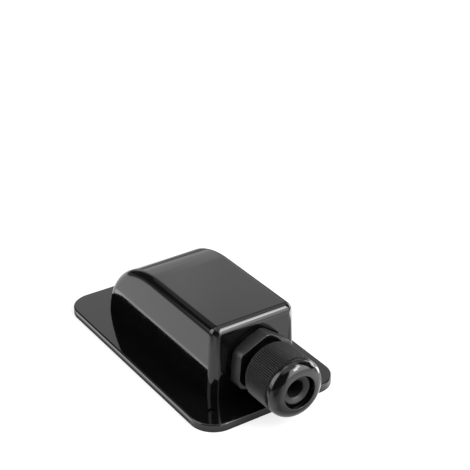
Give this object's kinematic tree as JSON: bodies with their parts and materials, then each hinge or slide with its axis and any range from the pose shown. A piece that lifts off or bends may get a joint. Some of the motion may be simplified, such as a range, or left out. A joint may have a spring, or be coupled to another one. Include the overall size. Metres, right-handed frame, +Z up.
{
  "type": "solar cable entry box",
  "caption": "Roof entry box for a solar cable: a hollow moulded hood on a flange, open below, with a domed screw-down cable gland in its front wall.",
  "frame": {"origin": "centre of the flange's underside, on the roof's surface", "axes": "+X along the cable gland, out of the box; +Z up from the roof; +Y across the box"},
  "size_m": [0.1264, 0.063, 0.0343],
  "materials": {
    "housing_abs": "moulded black ABS, high gloss",
    "gland_nylon": "moulded black nylon, satin",
    "seal_rubber": "moulded dark grey rubber, matt"
  },
  "bodies": {
    "box": {"housing": "housing_abs", "gland_body": "gland_nylon", "gland_washer": "seal_rubber", "gland_locknut": "gland_nylon"},
    "seal": {"gland_seal": "seal_rubber"},
    "cap": {"gland_cap": "gland_nylon"}
  },
  "joints": [
    {"name": "cap_travel", "type": "slide", "parent": "box", "child": "seal", "axis": [1, 0, 0], "range_m": [0, 0.0076]},
    {"name": "cap_turn", "type": "hinge", "parent": "seal", "child": "cap", "pos_m": [0.0591, 0, 0.0168], "axis": [1, 0, 0], "range_deg": [0, 1800]}
  ],
  "couplings": [
    {"joint": "cap_travel", "follows": "cap_turn", "m_per_rad": 0.00023873}
  ]
}
